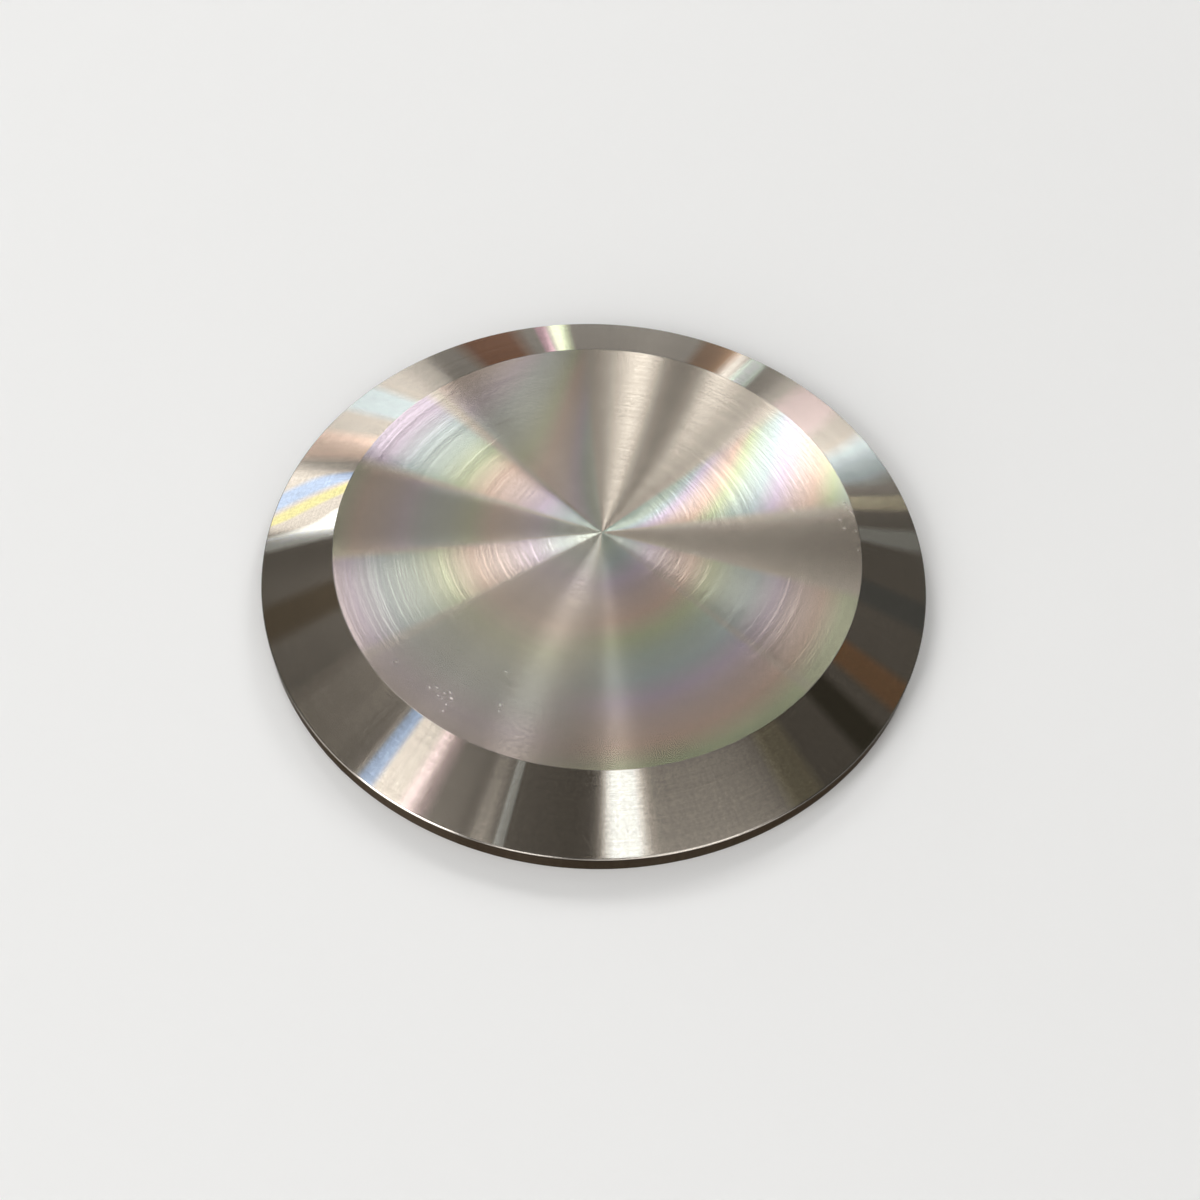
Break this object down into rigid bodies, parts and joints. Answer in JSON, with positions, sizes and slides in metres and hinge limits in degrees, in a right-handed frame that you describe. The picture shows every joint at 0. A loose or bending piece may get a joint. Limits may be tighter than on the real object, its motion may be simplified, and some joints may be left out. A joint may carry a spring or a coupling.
{
  "type": "sanitary clamp end cap",
  "caption": "Solid round blank that closes a clamp ferrule: flat crown, sloped clamp bevel, straight rim and a gasket groove in its face.",
  "frame": {"origin": "centre of the gasket face, the plane that the cap lies on and seals with", "axes": "+Z along the cap's axis, from the gasket face to the crown face; the cap is the same all round, so +X and +Y are free"},
  "size_m": [0.0909, 0.091, 0.0063],
  "materials": {
    "stainless_steel": "fine turned, with even rings about the axis"
  },
  "bodies": {
    "root": {"end_cap": "stainless_steel"}
  },
  "joints": []
}
